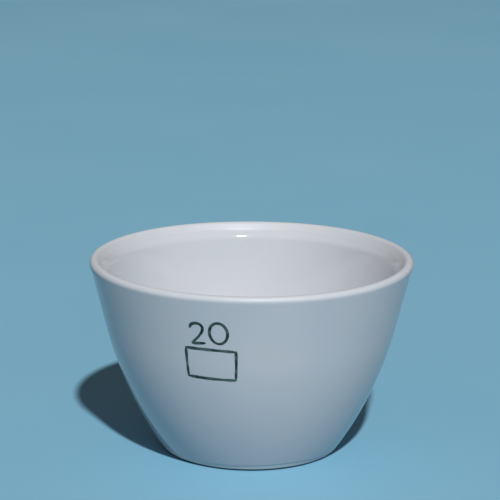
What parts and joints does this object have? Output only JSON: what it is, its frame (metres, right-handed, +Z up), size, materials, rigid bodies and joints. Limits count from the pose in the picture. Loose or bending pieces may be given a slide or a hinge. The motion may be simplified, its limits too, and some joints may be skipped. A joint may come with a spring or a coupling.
{
  "type": "porcelain crucible",
  "caption": "Low, wide porcelain crucible: a thin glazed bowl with a tapered wall, a full round lip and a narrow unglazed foot ring.",
  "frame": {"origin": "centre of the resting face, on the axis of turning", "axes": "+Z up along the axis of turning, out of the bowl's mouth; the mark on the wall faces -Y"},
  "size_m": [0.045, 0.045, 0.0272],
  "materials": {
    "glaze": "clear gloss glaze over white porcelain",
    "mark_ink": "dark green underglaze print"
  },
  "bodies": {
    "root": {"crucible": "glaze"}
  },
  "joints": []
}
